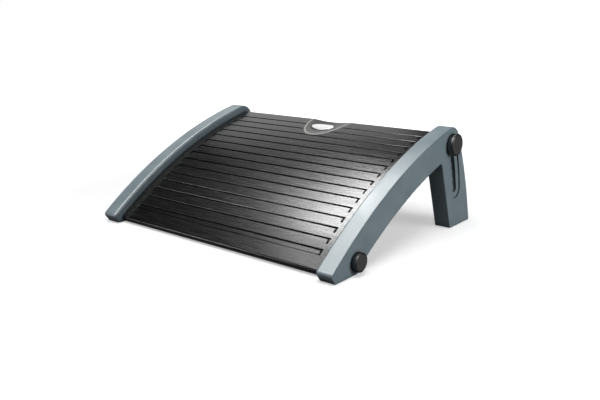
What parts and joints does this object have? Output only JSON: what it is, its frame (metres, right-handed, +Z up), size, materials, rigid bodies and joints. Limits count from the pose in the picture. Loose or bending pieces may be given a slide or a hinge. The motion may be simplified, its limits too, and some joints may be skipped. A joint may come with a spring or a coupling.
{
  "type": "footrest",
  "caption": "Adjustable office footrest: a curved ribbed platform with a dished rear edge, hinged at the front and clamped at the rear between two arched side frames.",
  "frame": {"origin": "on the floor under the middle of the footrest", "axes": "+X to the user's right, +Y to the back (away from the user, the high end), +Z up"},
  "size_m": [0.4704, 0.375, 0.159],
  "materials": {
    "frame_plastic": "finely textured blue-grey moulding",
    "panel_plastic": "finely textured blue-grey moulding",
    "platform_plastic": "satin black moulding with a fine grain",
    "badge_metal": "glossy silver, domed",
    "knob_plastic": "polished black",
    "knob_cap_plastic": "matt dark grey",
    "bush_plastic": "natural black",
    "pad_rubber": "matt",
    "washer_steel": "zinc plated",
    "bolt_steel": "zinc plated",
    "screw_steel": "blackened",
    "insert_brass": "turned"
  },
  "bodies": {
    "stand": {"right_side_frame": "frame_plastic", "right_side_panel": "panel_plastic", "right_panel_screws": "screw_steel", "right_front_foot_pad": "pad_rubber", "right_rear_foot_pad": "pad_rubber", "right_pivot_bush": "bush_plastic", "left_side_frame": "frame_plastic", "left_side_panel": "panel_plastic", "left_panel_screws": "screw_steel", "left_front_foot_pad": "pad_rubber", "left_rear_foot_pad": "pad_rubber", "left_pivot_bush": "bush_plastic"},
    "platform": {"platform": "platform_plastic", "badge": "badge_metal", "right_slot_follower": "bush_plastic", "right_front_insert": "insert_brass", "right_rear_insert": "insert_brass", "left_slot_follower": "bush_plastic", "left_front_insert": "insert_brass", "left_rear_insert": "insert_brass"},
    "right_front_washer_ring": {"right_front_washer": "washer_steel"},
    "right_front_knob_and_bolt": {"right_front_knob": "knob_plastic", "right_front_knob_cap": "knob_cap_plastic", "right_front_bolt": "bolt_steel"},
    "right_rear_washer_ring": {"right_rear_washer": "washer_steel"},
    "right_rear_knob_and_bolt": {"right_rear_knob": "knob_plastic", "right_rear_knob_cap": "knob_cap_plastic", "right_rear_bolt": "bolt_steel"},
    "left_front_washer_ring": {"left_front_washer": "washer_steel"},
    "left_front_knob_and_bolt": {"left_front_knob": "knob_plastic", "left_front_knob_cap": "knob_cap_plastic", "left_front_bolt": "bolt_steel"},
    "left_rear_washer_ring": {"left_rear_washer": "washer_steel"},
    "left_rear_knob_and_bolt": {"left_rear_knob": "knob_plastic", "left_rear_knob_cap": "knob_cap_plastic", "left_rear_bolt": "bolt_steel"}
  },
  "joints": [
    {"name": "platform_tilt", "type": "hinge", "parent": "stand", "child": "platform", "pos_m": [0, -0.1352, 0.01819], "axis": [1, 0, 0], "range_deg": [-16, 0]},
    {"name": "right_front_knob_loosen", "type": "slide", "parent": "platform", "child": "right_front_washer_ring", "axis": [1, 0, 0], "range_m": [0, 0.002]},
    {"name": "right_front_knob_turn", "type": "hinge", "parent": "right_front_washer_ring", "child": "right_front_knob_and_bolt", "pos_m": [0.2294, -0.1352, 0.01819], "axis": [1, 0, 0], "range_deg": [0, 720]},
    {"name": "right_rear_knob_loosen", "type": "slide", "parent": "platform", "child": "right_rear_washer_ring", "axis": [1, 0, 0], "range_m": [0, 0.002]},
    {"name": "right_rear_knob_turn", "type": "hinge", "parent": "right_rear_washer_ring", "child": "right_rear_knob_and_bolt", "pos_m": [0.2304, 0.1123, 0.13319], "axis": [1, 0, 0], "range_deg": [0, 720]},
    {"name": "left_front_knob_loosen", "type": "slide", "parent": "platform", "child": "left_front_washer_ring", "axis": [-1, 0, 0], "range_m": [0, 0.002]},
    {"name": "left_front_knob_turn", "type": "hinge", "parent": "left_front_washer_ring", "child": "left_front_knob_and_bolt", "pos_m": [-0.2294, -0.1352, 0.01819], "axis": [-1, 0, 0], "range_deg": [0, 720]},
    {"name": "left_rear_knob_loosen", "type": "slide", "parent": "platform", "child": "left_rear_washer_ring", "axis": [-1, 0, 0], "range_m": [0, 0.002]},
    {"name": "left_rear_knob_turn", "type": "hinge", "parent": "left_rear_washer_ring", "child": "left_rear_knob_and_bolt", "pos_m": [-0.2304, 0.1123, 0.13319], "axis": [-1, 0, 0], "range_deg": [0, 720]}
  ],
  "couplings": [
    {"joint": "right_front_knob_loosen", "follows": "right_front_knob_turn", "m_per_rad": 0.00015915},
    {"joint": "right_rear_knob_loosen", "follows": "right_rear_knob_turn", "m_per_rad": 0.00015915},
    {"joint": "left_front_knob_loosen", "follows": "left_front_knob_turn", "m_per_rad": 0.00015915},
    {"joint": "left_rear_knob_loosen", "follows": "left_rear_knob_turn", "m_per_rad": 0.00015915}
  ]
}
